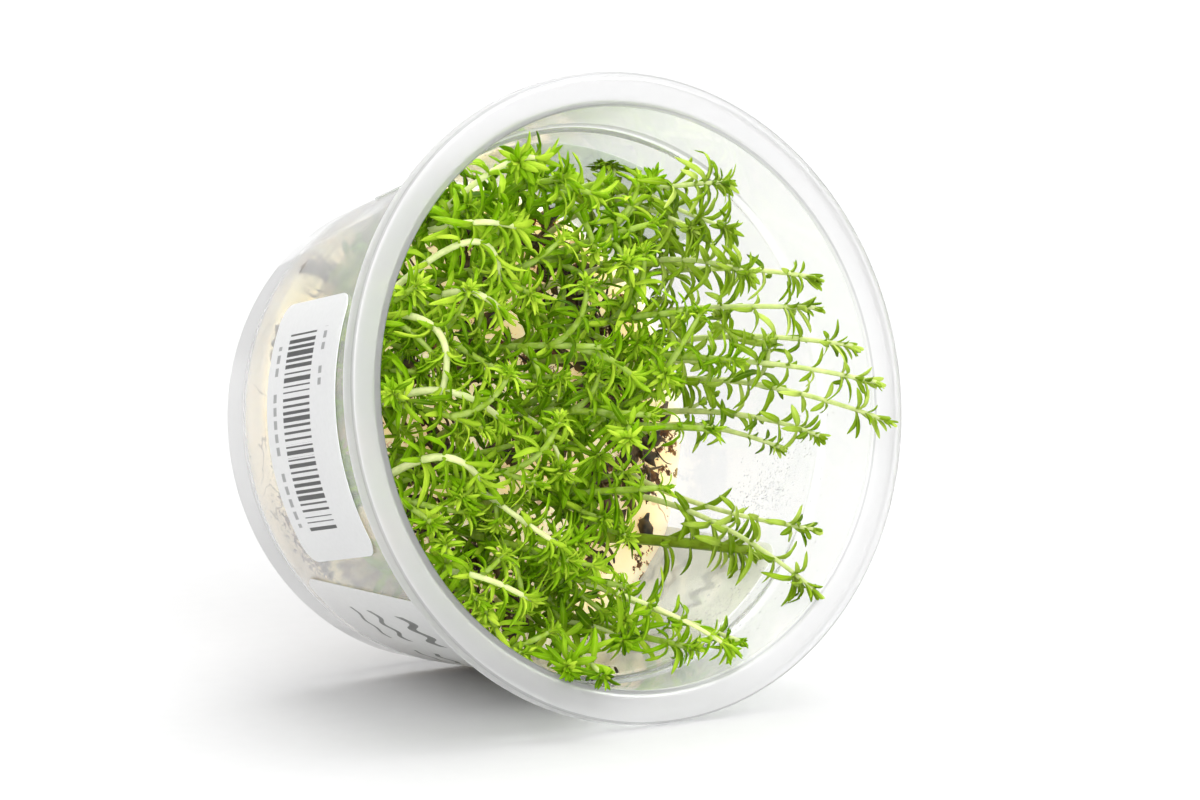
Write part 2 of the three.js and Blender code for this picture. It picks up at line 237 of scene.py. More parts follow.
def turned(profile, steps):
    """A closed body turned about the axis, from corners of (radius, height, round).

    The round is how far from the corner its rounding begins, and 0 leaves it sharp.
    """
    drawn = bmesh.new()
    corners = [drawn.verts.new((radius, 0, height)) for radius, height, _ in profile]
    for here, there in zip(corners, corners[1:]):
        drawn.edges.new((here, there))
    for corner, (_, _, size) in zip(corners, profile):
        if size:
            bmesh.ops.bevel(
                drawn, geom=[corner], offset=size, offset_type="OFFSET",
                segments=4, profile=0.5, affect="VERTICES", material=-1,
            )
    bmesh.ops.spin(
        drawn, geom=drawn.verts[:] + drawn.edges[:], cent=(0, 0, 0), axis=(0, 0, 1),
        dvec=(0, 0, 0), angle=math.tau, steps=steps, use_merge=True,
    )
    bmesh.ops.remove_doubles(drawn, verts=drawn.verts, dist=1e-3)
    bmesh.ops.recalc_face_normals(drawn, faces=drawn.faces)
    return drawn


# Materials

class Look:
    """A node material with a short way to add a node and join it up."""

    def __init__(self, name):
        self.material = bpy.data.materials.new(name)
        self.material.use_nodes = True
        self.tree = self.material.node_tree
        self.shader = self.tree.nodes["Principled BSDF"]
        self.output = self.tree.nodes["Material Output"]

    def node(self, kind, inputs=(), **settings):
        made = self.tree.nodes.new("ShaderNode" + kind)
        for key, value in settings.items():
            setattr(made, key, value)
        for key, value in dict(inputs).items():
            self.set(made.inputs[key], value)
        return made

    def set(self, socket, value):
        """Joins the socket to another node's, or gives it a plain value."""
        if isinstance(value, bpy.types.NodeSocket):
            self.tree.links.new(value, socket)
        else:
            socket.default_value = value

    def finish(self, **inputs):
        """Sets the shader's own sockets. A _ stands for a space in their names."""
        for key, value in inputs.items():
            self.set(self.shader.inputs[key.replace("_", " ")], value)

    def place(self):
        """Where a spot of the piece lies, in metres."""
        return self.node("TexCoord").outputs["Object"]

    def own_place(self):
        """How far along and up its own map a spot of the piece lies."""
        own_map = self.node("UVMap", uv_map="UVMap").outputs["UV"]
        split = self.node("SeparateXYZ", {0: own_map})
        return split.outputs[0], split.outputs[1]

    def marks(self, name):
        """A number that the mesh keeps at each of its corners."""
        return self.node("Attribute", attribute_name=name).outputs["Fac"]

    def noise(self, where, scale, detail=3, roughness=0.5, output="Fac"):
        keys = {"Vector": where, "Scale": scale, "Detail": detail, "Roughness": roughness}
        return self.node("TexNoise", keys).outputs[output]

    def between(self, value, low, high, to_low=0.0, to_high=1.0):
        """to_low where the value is low, to_high where it is high, and even steps in between."""
        keys = {"Value": value, "From Min": low, "From Max": high, "To Min": to_low, "To Max": to_high}
        return self.node("MapRange", keys).outputs["Result"]

    def maths(self, operation, first, second=0.0, third=0.0):
        return self.node("Math", {0: first, 1: second, 2: third}, operation=operation).outputs[0]

    def mix(self, share, first, second):
        keys = {"Factor": share, "A": first, "B": second}
        made = self.node("Mix", data_type="RGBA")
        for socket in made.inputs:
            if socket.enabled and socket.name in keys:
                self.set(socket, keys[socket.name])
        return next(socket for socket in made.outputs if socket.enabled)

    def bump(self, height, strength, distance):
        keys = {"Height": height, "Strength": strength, "Distance": distance}
        return self.node("Bump", keys).outputs["Normal"]

    def blend_surface(self, share, other):
        """Puts that share of another shader in the place of the material's own."""
        mixed = self.node("MixShader", {0: share, 1: self.shader.outputs["BSDF"], 2: other})
        self.set(self.output.inputs["Surface"], mixed.outputs[0])

    def clear_in_shadow(self, tint):
        """Lets light through in place of the dark shadow that a clear body would cast."""
        through = self.node("BsdfTransparent", {"Color": tint}).outputs["BSDF"]
        self.blend_surface(self.node("LightPath").outputs["Is Shadow Ray"], through)

    def glowing_through(self, share, tint):
        """Mixes in light that comes through from behind, as in a leaf."""
        behind = self.node("BsdfTranslucent", {"Color": tint}).outputs["BSDF"]
        self.blend_surface(share, behind)


def colour(red, green, blue):
    """A colour given as it looks on a screen, 0 to 255, as the light values that a shader takes."""
    def light(value):
        share = value / 255
        return share / 12.92 if share <= 0.04045 else ((share + 0.055) / 1.055) ** 2.4
    return (light(red), light(green), light(blue), 1)


PLASTIC_IOR = 1.49
GEL_IOR = 1.35
SAP_IOR = 1.42
WATER_IOR = 1.33


def clear_wall_look():
    look = Look("clear_moulded_wall")
    mist = look.noise(look.place(), scale=55, detail=4)
    rough = look.between(mist, 0.35, 0.7, 0.05, 0.2)
    look.finish(
        Base_Color=(0.97, 0.97, 0.97, 1), Roughness=rough, IOR=PLASTIC_IOR,
        Transmission_Weight=0.92, Normal=look.bump(mist, strength=0.1, distance=0.0004),
    )
    look.clear_in_shadow((0.95, 0.96, 0.96, 1))
    return look.material


def frosted_look(name, shade):
    look = Look(name)
    grain = look.noise(look.place(), scale=900, detail=2)
    look.finish(
        Base_Color=(shade, shade, shade, 1), Roughness=look.between(grain, 0.3, 0.7, 0.3, 0.42),
        IOR=PLASTIC_IOR, Transmission_Weight=0.82,
        Normal=look.bump(grain, strength=0.08, distance=0.0002),
    )
    look.clear_in_shadow((0.8, 0.8, 0.81, 1))
    return look.material


def gel_look():
    """Cream gel, dark round the stems with root debris and painted shade, a crust on its edge, fine cracks
    and a painted glow.
    """
    look = Look("cream_culture_gel")
    where = look.place()
    depth = look.marks("depth")
    near_top = look.between(depth, 1.1, 0.0)
    cloud = look.noise(where, scale=90, detail=4)
    cream = look.mix(look.between(cloud, 0.35, 0.65), colour(254, 222, 164), colour(255, 238, 202))
    cream = look.mix(look.between(depth, 0.1, 0.8), cream, colour(242, 224, 198))

    # Dark patches round the stems' feet: partly root debris, partly painted shade in the deep gaps between
    # the stems
    patches = look.noise(where, scale=210, detail=5, roughness=0.7)
    round_stems = look.maths("MULTIPLY_ADD", look.marks("planted"), 0.1, patches)
    matter_and_shade = look.maths("MULTIPLY", look.between(round_stems, 0.61, 0.64), near_top)
    crumbled = look.noise(where, scale=900, detail=4, roughness=0.7)
    crust = look.maths("MULTIPLY_ADD", look.marks("crust"), 0.3, crumbled)
    matter_and_shade = look.maths("MAXIMUM", matter_and_shade, look.between(crust, 0.66, 0.7))

    sway = look.noise(where, scale=110, output="Color")
    sway = look.node("VectorMath", {0: sway, "Scale": 0.02}, operation="SCALE").outputs["Vector"]
    bent = look.node("VectorMath", {0: where, 1: sway}, operation="ADD").outputs["Vector"]
    cells = look.node("TexVoronoi", {"Vector": bent, "Scale": 75}, feature="DISTANCE_TO_EDGE")
    edges = look.between(cells.outputs["Distance"], 0.02, 0.008)
    crack = look.maths("MULTIPLY", edges, look.between(cloud, 0.42, 0.52))
    crack = look.maths("MULTIPLY", crack, look.between(depth, 2.2, 1.7, 0, 0.6))

    crumbs = look.noise(where, scale=1200)
    dark = look.mix(look.between(crumbs, 0.4, 0.7), colour(44, 26, 10), colour(112, 74, 34))
    marked_colour = look.mix(look.maths("MAXIMUM", matter_and_shade, crack), cream, dark)
    # The emission is a painted glow, standing in for light that the gel carries in from round it; it is
    # strongest near the top
    look.finish(
        Base_Color=marked_colour, Roughness=look.between(cloud, 0.3, 0.7, 0.25, 0.5), IOR=GEL_IOR,
        Subsurface_Weight=0.9, Subsurface_Radius=(0.016, 0.013, 0.009), Subsurface_Scale=1.0,
        Emission_Color=look.mix(look.between(near_top, 0, 1, 0.35, 1), (0, 0, 0, 1), marked_colour),
        Emission_Strength=0.42, Normal=look.bump(patches, strength=0.4, distance=0.0006),
    )
    return look.material


def label_front_look(name, draw_marks, glow):
    look = Look(name)
    along, height = look.own_place()
    ink = draw_marks(look, along, height)
    fibre = look.noise(look.place(), scale=1400, detail=2)
    paper = look.mix(fibre, colour(240, 240, 241), colour(248, 248, 249))
    printed = look.mix(ink, paper, colour(66, 66, 70))
    look.finish(Base_Color=printed, Roughness=0.45)
    look.glowing_through(glow, paper)
    return look.material


def label_back_look(name, tint, draw_marks, ghosting):
    """The label's back as seen through the wall, with its marks showing through faintly."""
    look = Look(name)
    along, height = look.own_place()
    ghost = look.maths("MULTIPLY", draw_marks(look, along, height), ghosting)
    cloud = look.noise(look.place(), scale=160, detail=4)
    lighter = tuple(min(1, part * 1.12) for part in tint[:3]) + (1,)
    paper = look.mix(look.between(cloud, 0.35, 0.65), tint, lighter)
    marked_colour = look.mix(ghost, paper, colour(120, 124, 118))
    look.finish(Base_Color=marked_colour, Roughness=0.6)
    look.glowing_through(0.65, marked_colour)
    return look.material


# The labels' marks, in millimetres along and up each label

def window(look, value, low, high):
    """1 where the value lies between low and high, and 0 elsewhere."""
    above = look.maths("GREATER_THAN", value, low)
    return look.maths("MULTIPLY", above, look.maths("LESS_THAN", value, high))


def cell_chance(look, value, size, seed):
    """A random number from 0 to 1 for each of the equal cells along a direction."""
    cell = look.maths("FLOOR", look.maths("DIVIDE", value, size))
    keys = {"W": look.maths("ADD", cell, seed)}
    return look.node("TexWhiteNoise", keys, noise_dimensions="1D").outputs["Value"]


def kept_cells(look, value, size, seed, share):
    """1 in that share of the cells, chosen at random, and 0 in the others."""
    return look.maths("LESS_THAN", cell_chance(look, value, size, seed), share)


def short_marks(look, along, height, start, end, low, high, pitch, seed):
    """A row of plain short marks with gaps at random."""
    place = look.maths("MULTIPLY", look.maths("FRACT", look.maths("DIVIDE", along, pitch)), pitch)
    kept = kept_cells(look, along, pitch, seed, 0.85)
    inside = look.maths("MULTIPLY", window(look, along, start, end), kept)
    block = look.maths("MULTIPLY", window(look, place, 0.35, pitch - 0.35), window(look, height, low, high))
    return look.maths("MULTIPLY", look.maths("MULTIPLY", inside, block), 0.6)


def bar_marks(look, along, height):
    """Bars of random widths, one to each millimetre, between two rows of small marks."""
    width = cell_chance(look, along, 1, 7)
    from_middle = look.maths("ABSOLUTE", look.maths("SUBTRACT", look.maths("FRACT", along), 0.5))
    bars = look.maths("LESS_THAN", from_middle, look.between(width, 0, 1, 0.12, 0.42))
    bars = look.maths("MULTIPLY", bars, kept_cells(look, along, 0.25, 19, 0.86))
    bars = look.maths("MULTIPLY", bars, window(look, along, 5, 36))
    bars = look.maths("MULTIPLY", bars, window(look, height, 6.2, 16.3))
    below = short_marks(look, along, height, start=7, end=35, low=2.5, high=3.7, pitch=2, seed=31)
    above = short_marks(look, along, height, start=5, end=14, low=19.2, high=20.4, pitch=1.8, seed=57)
    return look.maths("MAXIMUM", bars, look.maths("MAXIMUM", below, above))


def wavy_lines(look, along, height):
    """A thick, a thinner and a thin wavy line, broken into pieces."""
    sway = look.maths("SINE", look.maths("MULTIPLY", along, 1.7))
    thick = window(look, look.maths("MULTIPLY_ADD", sway, 1.3, height), 22, 24.6)
    thinner = window(look, look.maths("MULTIPLY_ADD", sway, 0.8, height), 13.5, 14.9)
    thin = window(look, look.maths("MULTIPLY_ADD", sway, 0.4, height), 8.2, 9)
    lines = look.maths("MAXIMUM", thick, look.maths("MAXIMUM", thinner, thin))
    inside = look.maths("MULTIPLY", window(look, along, 5, 70), kept_cells(look, along, 4.4, 12, 0.85))
    return look.maths("MULTIPLY", look.maths("MULTIPLY", lines, inside), 0.85)


def faint_lines(look, along, height):
    """Rows of thin straight lines, broken into pieces."""
    row = look.maths("FRACT", look.maths("DIVIDE", height, 2.6))
    line = window(look, row, 0.35, 0.6)
    inside = look.maths("MULTIPLY", window(look, along, 5, 45), window(look, height, 5, 21))
    kept = look.maths("MULTIPLY", kept_cells(look, along, 3.1, 71, 0.7), 0.6)
    return look.maths("MULTIPLY", look.maths("MULTIPLY", line, inside), kept)


LEAF_COLOURS = {
    # old, full-grown, young, and what shines through
    "narrow_leaf": ((58, 98, 2), (140, 190, 4), (214, 238, 76), (190, 234, 6)),
    "spray_leaf": ((86, 128, 6), (158, 192, 34), (222, 238, 124), (206, 232, 52)),
}


def leaf_look(name):
    """A leaf from old to young by its tone, with a pale rib and foot and, when old, a brown tip."""
    look = Look(name)
    oldest, grown, youngest, behind = (colour(*part) for part in LEAF_COLOURS[name])
    across, along = look.own_place()
    tone = look.marks("tone")
    blotch = look.noise(look.place(), scale=420)
    shade = look.maths("ADD", tone, look.between(blotch, 0.3, 0.7, -0.12, 0.12))
    blade = look.mix(look.between(shade, 0.0, 0.5), oldest, grown)
    blade = look.mix(look.between(shade, 0.5, 1.0), blade, youngest)
    offset = look.maths("ABSOLUTE", look.maths("SUBTRACT", across, 0.5))
    rib = look.maths("MULTIPLY", look.between(offset, 0.09, 0.02), 0.35)
    pale = look.maths("MAXIMUM", rib, look.between(along, 0.4, 0.0, 0, 0.55))
    blade = look.mix(pale, blade, youngest)
    tip = look.maths("MULTIPLY", look.between(along, 0.9, 1.0), look.maths("LESS_THAN", tone, 0.2))
    blade = look.mix(tip, blade, colour(58, 52, 16))
    groove = look.between(offset, 0.0, 0.16)
    look.finish(
        Base_Color=blade, Roughness=0.46, IOR=SAP_IOR, Specular_IOR_Level=0.12,
        Normal=look.bump(groove, strength=0.35, distance=0.0002),
    )
    look.glowing_through(0.42, look.mix(0.5, blade, behind))
    return look.material


def stem_look():
    look = Look("juicy_stem")
    streak = look.noise(look.place(), scale=700)
    shade = look.maths("ADD", look.marks("tone"), look.between(streak, 0.3, 0.7, -0.1, 0.1))
    green = look.mix(look.between(shade, 0.0, 0.5), colour(108, 118, 14), colour(172, 204, 62))
    pale = look.mix(look.between(shade, 0.5, 1.0), green, colour(248, 252, 194))
    look.finish(Base_Color=pale, Roughness=0.33, IOR=SAP_IOR, Specular_IOR_Level=0.3)
    look.glowing_through(0.4, pale)
    return look.material


def root_look():
    look = Look("brown_roots")
    patch = look.noise(look.place(), scale=500)
    shade = look.mix(look.between(patch, 0.35, 0.65), colour(34, 24, 10), colour(98, 76, 34))
    look.finish(Base_Color=shade, Roughness=0.6)
    return look.material


def water_look():
    look = Look("condensed_water")
    ripple = look.noise(look.place(), scale=2500, detail=2)
    look.finish(
        Base_Color=(1, 1, 1, 1), Roughness=0.02, IOR=WATER_IOR, Transmission_Weight=1.0,
        Normal=look.bump(ripple, strength=0.03, distance=0.0001),
    )
    look.clear_in_shadow((0.94, 0.94, 0.94, 1))
    return look.material


# The cup

def make_cup():
    floor_top = FLOOR_UNDERSIDE + FLOOR_THICKNESS
    flange_underside = CUP_HEIGHT - FLANGE_THICKNESS
    skirt_edge = CUP_HEIGHT - SKIRT_DEPTH
    skirt_inside = RIM_RADIUS - SKIRT_THICKNESS
    step_top = STEP_HEIGHT + STEP_RISE
    foot_inside = BASE_RADIUS - FOOT_WIDTH
    drawn = turned([
        (0, FLOOR_UNDERSIDE, 0),
        (foot_inside - FOOT_DRAFT, FLOOR_UNDERSIDE, 0.8),
        (foot_inside, 0, 0),
        (BASE_RADIUS, 0, 0.8),
        (outer_radius(STEP_HEIGHT), STEP_HEIGHT, 0.5),
        (RADIUS_ABOVE_STEP + WALL, step_top, 0.5),
        (MOUTH_RADIUS + WALL, flange_underside, 0.7),
        (skirt_inside, flange_underside, 0.4),
        (skirt_inside, skirt_edge, 0),
        (RIM_RADIUS, skirt_edge, 0.25),
        (RIM_RADIUS, CUP_HEIGHT, 0.6),
        (MOUTH_RADIUS, CUP_HEIGHT, 0.4),
        (RADIUS_ABOVE_STEP, step_top, 0.5),
        (RADIUS_BELOW_STEP, STEP_HEIGHT, 0.5),
        (inner_radius(floor_top), floor_top, 1.2),
        (0, floor_top, 0),
    ], CUP_STEPS)
    # The flange is frosted, and its two edges and the foot are painted a darker grey: painted shade for the
    # dark lines that refraction draws there
    clear, frosted, edge = range(3)
    for face in drawn.faces:
        middle = face.calc_center_median()
        reach, height = middle.xy.length, middle.z
        is_foot = height < FLOOR_UNDERSIDE - 0.2
        is_rim_edge = height > CUP_HEIGHT - 0.4 and reach > RIM_RADIUS - 0.4
        is_mouth_edge = height > CUP_HEIGHT - 0.25 and reach < MOUTH_RADIUS + 0.22
        is_flange = height > skirt_edge - 0.1 and reach > MOUTH_RADIUS + 0.1
        if is_foot or is_rim_edge or is_mouth_edge:
            face.material_index = edge
        else:
            face.material_index = frosted if is_flange else clear
    # The third look's darker grey is painted shade, not a darker plastic
    looks = [clear_wall_look(), frosted_look("frosted_flange", 0.78), frosted_look("frosted_edges_painted_shade", 0.48)]
    piece = finished("clear_cup", drawn, looks, "cup")
    piece.data.set_sharp_from_angle(angle=SHARP_ANGLE)


# The gel

def make_gel():
    """The gel with its lumps. depth, planted and crust tell its look where to mark it: dark debris and
    painted shade round the stems, the crust, the cracks and its painted glow.
    """
    underside = FLOOR_UNDERSIDE + FLOOR_THICKNESS + GEL_GAP
    edge_radius = inner_radius(GEL_TOP) - GEL_GAP
    side_heights = (underside + GEL_CORNER, *GEL_SIDE_HEIGHTS)
    profile = [(0, underside, 0), (inner_radius(underside) - GEL_CORNER, underside, 0)]
    profile += [(inner_radius(height) - GEL_GAP, height, 0) for height in side_heights]
    profile += [(edge_radius * (1 - i / GEL_RINGS), GEL_TOP, 0) for i in range(GEL_RINGS + 1)]
    drawn = turned(profile, GEL_STEPS)
    depth = drawn.verts.layers.float.new("depth")
    planted = drawn.verts.layers.float.new("planted")
    crust = drawn.verts.layers.float.new("crust")
    feet = [Vector(foot) for foot, _, _ in STEM_ROUTES]
    lumpy_height = GEL_TOP - GEL_EVEN_HEIGHT
    for corner in drawn.verts:
        spot = corner.co
        reach = spot.xy.length
        share = max(0, (spot.z - GEL_EVEN_HEIGHT) / lumpy_height)
        lumps = sum(
            tall * noise.noise(Vector((spot.x, spot.y, level)) / wide) for tall, wide, level in GEL_LUMPS
        )
        height = spot.z + share * (gel_surface(spot.y) - GEL_TOP + lumps)
        corner[depth] = (1 - share) * lumpy_height / GEL_DEPTH_STEP
        nearest = min((foot - spot.xy).length for foot in feet)
        corner[planted] = max(0, 1 - nearest / PLANTED_REACH)
        angle = math.degrees(math.atan2(spot.y, spot.x)) % 360
        is_skin = reach > edge_radius * 0.97
        corner[crust] = share * is_skin * max(0, 1 - abs(angle - CRUST_ANGLE) / CRUST_SPREAD)
        if reach > edge_radius * 0.9 and spot.z > underside + 1:
            widening = (inner_radius(height) - GEL_GAP) / (inner_radius(spot.z) - GEL_GAP)
            spot.x *= widening
            spot.y *= widening
        spot.z = height
    finished("gel_disc", drawn, [gel_look()], "gel")


# The labels

def spaced(low, high, step):
    """Even cuts between low and high, about a step apart."""
    count = round((high - low) / step)
    return [low + (high - low) * i / count for i in range(1, count)]


def make_label(name, node, materials):
    """A thin skin with round corners, bent round the wall. Its own map is in millimetres."""
    middle, length, low, high = LABELS[node]
    rise = high - low
    drawn = bmesh.new()
    bmesh.ops.create_grid(drawn, x_segments=1, y_segments=1, size=0.5)
    bmesh.ops.scale(drawn, vec=(length, rise, 1), verts=drawn.verts)
    bmesh.ops.bevel(
        drawn, geom=drawn.verts[:], offset=LABEL_CORNER, offset_type="OFFSET",
        segments=6, profile=0.5, affect="VERTICES", material=-1,
    )
    cuts = [(Vector((x, 0, 0)), Vector((1, 0, 0))) for x in spaced(-length / 2, length / 2, LABEL_STRIP)]
    cuts += [(Vector((0, y, 0)), Vector((0, 1, 0))) for y in spaced(-rise / 2, rise / 2, LABEL_ROW)]
    for point, normal in cuts:
        everything = drawn.verts[:] + drawn.edges[:] + drawn.faces[:]
        bmesh.ops.bisect_plane(drawn, geom=everything, plane_co=point, plane_no=normal)
    own_map = drawn.loops.layers.uv.new("UVMap")
    for face in drawn.faces:
        for loop in face.loops:
            loop[own_map].uv = (loop.vert.co.x + length / 2, loop.vert.co.y + rise / 2)
    bmesh.ops.solidify(drawn, geom=drawn.faces[:], thickness=LABEL_THICKNESS)
    bmesh.ops.recalc_face_normals(drawn, faces=drawn.faces)
    front, back = range(2)
    for face in drawn.faces:
        face.material_index = back if face.normal.z < -0.5 else front
    lowest = min(corner.co.z for corner in drawn.verts)
    for corner in drawn.verts:
        height = low + corner.co.y + rise / 2
        angle = math.radians(middle) + corner.co.x / outer_radius(height)
        reach = outer_radius(height) + LABEL_GAP + corner.co.z - lowest
        corner.co = (reach * math.cos(angle), reach * math.sin(angle), height)
    piece = finished(name, drawn, materials, node)
    piece.data.set_sharp_from_angle(angle=SHARP_ANGLE)


def make_labels():
    kinds = (
        # name and node, marks, the back's tint, how far marks show on the back, the front's glow
        ("bar_label", "label_bars", bar_marks, colour(232, 234, 228), 0.3, 0.25),
        ("name_label", "label_name", wavy_lines, colour(240, 239, 228), 0.06, 0.25),
        ("top_label", "label_top", faint_lines, colour(236, 243, 234), 0.35, 0.6),
    )
    for name, node, draw_marks, tint, ghosting, glow in kinds:
        back = label_back_look(name + "_back", tint, draw_marks, ghosting)
        front = label_front_look(name + "_front", draw_marks, glow)
        make_label(name, node, [front, back])


# The plants

TUBE_RINGS = 18
LEAF_BENDS = (-0.5, 0.3, 0.8, 1.2, 1.6, 2.0, 2.5)
# How wide a leaf is at each row from its root to its tip: share of its length, share of its width
LEAF_ROWS = ((0, 0.36), (0.14, 0.54), (0.36, 0.87), (0.6, 1), (0.81, 0.9), (0.95, 0.55), (1, 0.18))


def stored(name, drawn):
    mesh = bpy.data.meshes.new(name)
    drawn.to_mesh(mesh)
    drawn.free()
    return mesh


def leaf_blade(bend):
    """A narrow leaf of length 1 and width 1, rooted at the origin, along +Y with its face up."""
    drawn = bmesh.new()
    drawn.loops.layers.uv.new("UVMap")
    drawn.verts.layers.float.new("tone")
    rows = len(LEAF_ROWS) - 1
    bmesh.ops.create_grid(drawn, x_segments=2, y_segments=rows, size=0.5, calc_uvs=True)
    for corner in drawn.verts:
        share, width = LEAF_ROWS[round((corner.co.y + 0.5) * rows)]
        side = corner.co.x * width
        fold = 0.2 * abs(side)
        turn = bend * share
        reach = math.sin(turn) / bend - fold * math.sin(turn)
        corner.co = (side, reach, fold - (1 - math.cos(turn)) / bend)
    bmesh.ops.solidify(drawn, geom=drawn.faces[:], thickness=0.03)
    bmesh.ops.recalc_face_normals(drawn, faces=drawn.faces)
    return stored("leaf_blade", drawn)


def stem_tube():
    """A six-sided rod of radius 1 and length 1 on the axis, cut into rings so that it can bend."""
    drawn = bmesh.new()
    drawn.verts.layers.float.new("tone")
    bmesh.ops.create_cone(drawn, cap_ends=True, segments=6, radius1=1, radius2=1, depth=1)
    bmesh.ops.translate(drawn, vec=(0, 0, 0.5), verts=drawn.verts)
    for i in range(1, TUBE_RINGS):
        everything = drawn.verts[:] + drawn.edges[:] + drawn.faces[:]
        cut = (0, 0, i / TUBE_RINGS)
        bmesh.ops.bisect_plane(drawn, geom=everything, plane_co=cut, plane_no=(0, 0, 1))
    # A plant's second look is its stem's
    for face in drawn.faces:
        face.material_index = 1
    return stored("stem_tube", drawn)


def arc(start, halfway, end):
    """One smooth arc from start through the point halfway to end, as its three control points."""
    start, halfway, end = Vector(start), Vector(halfway), Vector(end)
    return start, 2 * halfway - (start + end) / 2, end


def arc_point(route, share):
    start, bend, end = route
    return start.lerp(bend, share).lerp(bend.lerp(end, share), share)


def station(route, share):
    """The route's point and direction at a share of it, and two directions across it."""
    start, bend, end = route
    along = (bend - start).lerp(end - bend, share).normalized()
    across = (ACROSS - along * along.x).normalized()
    return arc_point(route, share), along, across, along.cross(across)


def add_copy(drawn, template, reshape, tone):
    """Adds a copy of a small mesh, with every corner moved by reshape and marked with its tone."""
    copy = template.copy()
    reshape(copy)
    copy.attributes["tone"].data.foreach_set("value", [tone] * len(copy.vertices))
    drawn.from_mesh(copy)
    bpy.data.meshes.remove(copy)


def add_tube(drawn, template, route, radius_at, tone):
    """A rod bent along a route, with the radius that radius_at gives at each share of it."""
    def bend(mesh):
        for corner in mesh.vertices:
            x, y, share = corner.co
            middle, _, across, over = station(route, share)
            corner.co = middle + (x * across + y * over) * radius_at(share)
    add_copy(drawn, template, bend, tone)


def add_leaf(drawn, blades, root, along, out, rise, droop, length, width, bend, tone):
    """A leaf that leaves its stem at an angle of rise above the direction out, and arches back."""
    heading = (math.cos(rise) * out + math.sin(rise) * along + droop * DOWN).normalized()
    face = math.cos(rise) * along - math.sin(rise) * out
    face = (face - heading * heading.dot(face)).normalized()
    face = Matrix.Rotation(chance.gauss(0, 0.25), 3, heading) @ face
    side = heading.cross(face)
    turn = Matrix((side * width, heading * length, face * length)).transposed().to_4x4()
    place = Matrix.Translation(root) @ turn
    nearest = min(range(len(LEAF_BENDS)), key=lambda i: abs(LEAF_BENDS[i] - bend))
    add_copy(drawn, blades[nearest], lambda mesh: mesh.transform(place), tone)


def add_whorl(drawn, blades, route, share, radius, count, turn, growth, size, rise, bend, tone):
    """A ring of leaves round a stem, each a little different. size is their share of the full size."""
    middle, along, across, over = station(route, share)
    for k in range(count):
        angle = turn + math.tau * (k + chance.uniform(-0.25, 0.25)) / count
        out = math.cos(angle) * across + math.sin(angle) * over
        length = growth["leaf"] * size * chance.uniform(0.6, 1.25)
        width = growth["width"] * (0.28 + 0.72 * size) * chance.uniform(0.8, 1.15)
        lift = rise + chance.gauss(0, 0.27)
        droop = growth["droop"] * max(0.2, out.dot(DOWN))
        shade = tone + chance.gauss(0, 0.2)
        root = middle + out * radius * 0.8
        curl = (bend + chance.gauss(0, 0.45)) * (1 - 0.4 * droop)
        add_leaf(drawn, blades, root, along, out, lift, droop, length, width, curl, shade)


# The rings of leaves at a shoot's tip: share along it, leaves, size, rise and bend of each. A tuft with
# fewer rings than these has the last ones.
FULL_TUFT = 5
TUFTS = {
    "open": (
        (0.93, 5, 0.74, 0.85, 1.6),
        (0.96, 5, 0.62, 1.05, 1.6),
        (0.98, 6, 0.5, 1.25, 1.4),
        (1.0, 5, 0.38, 1.4, 1.0),
        (1.0, 4, 0.28, 1.5, 0.3),
    ),
    "closed": (
        (0.91, 3, 0.72, 0.8, 1.1),
        (0.94, 3, 0.6, 1.0, 0.8),
        (0.965, 4, 0.46, 1.2, 0.3),
        (0.985, 4, 0.38, 1.4, -0.5),
        (1.0, 3, 0.3, 1.5, -0.5),
    ),
}


def add_shoot(drawn, templates, route, growth):
    """A stem or side shoot with its whorls of leaves and the tuft at its tip."""
    tube, blades = templates
    length = sum((arc_point(route, (i + 1) / 8) - arc_point(route, i / 8)).length for i in range(8))

    def radius_at(share):
        return growth["low"] + (growth["high"] - growth["low"]) * share
    add_tube(drawn, tube, route, radius_at, growth["stem_tone"])
    # Whorls above the bare foot: their leaves are longest halfway up and younger towards the tip
    bare = growth["bare"] / length
    whorls = max(1, round((length - growth["bare"]) / growth["spacing"]))
    turn = chance.uniform(0, math.tau)
    for whorl in range(whorls):
        share = bare + (1 - bare) * (whorl + chance.uniform(-0.12, 0.12)) / whorls
        size = 0.75 + 0.25 * math.sin(math.pi * min(1, 0.2 + share))
        tone = growth["tone"] + 0.3 * (share - 0.6)
        rise = chance.uniform(0.45, 0.85)
        count = chance.choice(growth["whorl"]) - (share < 0.35)
        bend = chance.uniform(1.1, 1.9)
        add_whorl(drawn, blades, route, share, radius_at(share), count, turn, growth, size, rise, bend, tone)
        turn += 0.6 + chance.uniform(-0.2, 0.2)
    rings = TUFTS[growth["tuft"]][-growth["tuft_rings"]:]
    for ring, (share, count, size, rise, bend) in enumerate(rings):
        radius = radius_at(share) * (1 - 0.2 * ring)
        tone = growth["tone"] + growth["tuft_tone"] + 0.06 * ring
        angle = turn + 0.5 * ring
        add_whorl(drawn, blades, route, share, radius, count, angle, growth, size, rise, bend, tone)


def kept_in_place(drawn, overhang):
    """Keeps leaves inside the wall, past the rim only as far as overhang lets them, and off the gel."""
    for corner in drawn.verts:
        spot = corner.co
        limit = inner_radius(spot.z) - WALL_CLEARANCE + max(0, spot.z - CUP_HEIGHT) * overhang
        reach = spot.xy.length
        if reach > limit:
            spot.x *= limit / reach
            spot.y *= limit / reach
        spot.z = max(spot.z, gel_surface(spot.y) + GEL_CLEARANCE)


def side_route(route, share, length, angle):
    """The route of a side shoot that leaves at this share and bends away from its stem."""
    middle, along, across, over = station(route, share)
    out = math.cos(angle) * across + math.sin(angle) * over
    halfway = middle + length * (0.3 * out + 0.42 * along)
    tip = middle + length * (0.78 * out + 0.62 * along)
    return arc(middle, halfway, tip)


